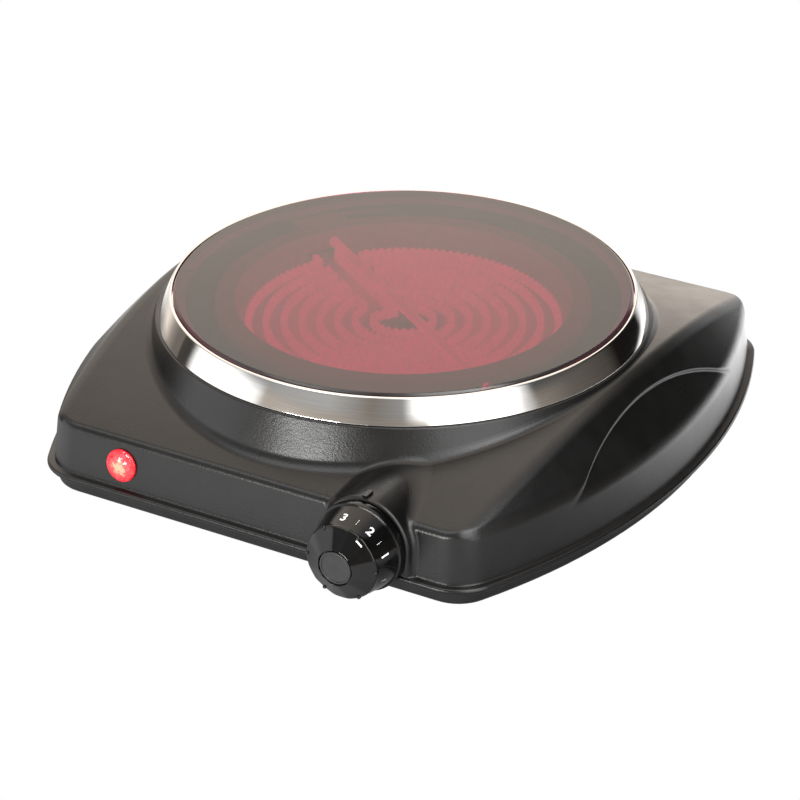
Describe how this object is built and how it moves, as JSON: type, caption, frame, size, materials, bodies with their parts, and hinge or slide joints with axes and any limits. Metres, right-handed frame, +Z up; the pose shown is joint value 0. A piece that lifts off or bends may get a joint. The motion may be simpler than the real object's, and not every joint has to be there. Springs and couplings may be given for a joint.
{
  "type": "hot plate burner",
  "caption": "Single infrared hot plate: round glass-ceramic plate with polished ring on an arched black steel body, with a turning dial and a pilot lamp.",
  "frame": {"origin": "on the table under the centre of the round glass, level with the soles of the feet", "axes": "+Z up, -Y towards the front with the dial, +X to the right seen from the front"},
  "size_m": [0.2496, 0.277, 0.0653],
  "materials": {
    "housing_paint": "fine-textured black powder coat, satin",
    "pan_paint": "black baked coating, satin",
    "stainless": "polished stainless steel",
    "glass_ceramic": "dark glass-ceramic, polished, translucent to the glow",
    "seal_fibre": "white silicone and fibre seal",
    "zinc_steel": "zinc-plated steel",
    "galvanised": "galvanised sheet",
    "insulation": "pressed microporous insulation",
    "ribbon_alloy": "heating alloy, oxidised, glowing when on",
    "quartz": "clear quartz tube",
    "steatite": "white steatite ceramic",
    "brass": "brass and tinned tabs",
    "knob_black": "glossy black heat-resistant plastic, white print",
    "knob_cap": "black plastic, satin",
    "regulator_case": "brown-black moulding",
    "mark_black": "glossy black mark",
    "lens_red": "clear red moulded lens, lit",
    "white_nylon": "white nylon",
    "lamp_glass": "neon tube glass",
    "spring_steel": "spring steel",
    "foot_rubber": "black rubber",
    "gland_black": "black nylon",
    "wire_brown": "brown insulated wire",
    "wire_blue": "blue insulated wire",
    "wire_green": "green and yellow insulated wire",
    "wire_white": "white insulated wire"
  },
  "bodies": {
    "base": {"base_pan": "pan_paint", "cable_gland": "gland_black", "earth_screw": "brass", "earth_tag": "brass", "foot_screws": "zinc_steel", "gland_cap": "gland_black", "gland_nut": "gland_black", "glass_plate": "glass_ceramic", "glass_seal": "seal_fibre", "heat_shield": "galvanised", "heater_crossbar": "galvanised", "heater_pan": "galvanised", "heater_springs": "zinc_steel", "heater_tabs": "brass", "heating_ribbon": "ribbon_alloy", "housing": "housing_paint", "housing_brackets": "galvanised", "insulation_base": "insulation", "insulation_wall": "insulation", "lamp_clip": "spring_steel", "lamp_holder": "white_nylon", "lamp_leads": "wire_white", "lamp_lens": "lens_red", "lamp_tube": "lamp_glass", "limiter_blades": "brass", "limiter_rod": "quartz", "limiter_switch": "steatite", "pointer_mark": "mark_black", "regulator_blades": "brass", "regulator_body": "regulator_case", "regulator_plate": "zinc_steel", "regulator_screws": "zinc_steel", "ring_nuts": "zinc_steel", "ring_studs": "zinc_steel", "ring_washers": "zinc_steel", "riser": "housing_paint", "rubber_feet": "foot_rubber", "shield_spacers": "zinc_steel", "terminal_block": "steatite", "terminal_screws": "brass", "terminal_sleeves": "brass", "trim_ring": "stainless", "wire_earth": "wire_green", "wire_live": "wire_brown", "wire_neutral": "wire_blue", "wire_switched": "wire_brown"},
    "dial": {"knob": "knob_black", "knob_cap": "knob_cap", "knob_clip": "zinc_steel", "regulator_shaft": "zinc_steel"}
  },
  "joints": [
    {"name": "dial_turn", "type": "hinge", "parent": "base", "child": "dial", "pos_m": [0.051, -0.1188, 0.025], "axis": [0, -1, 0], "range_deg": [-30, 150]}
  ]
}
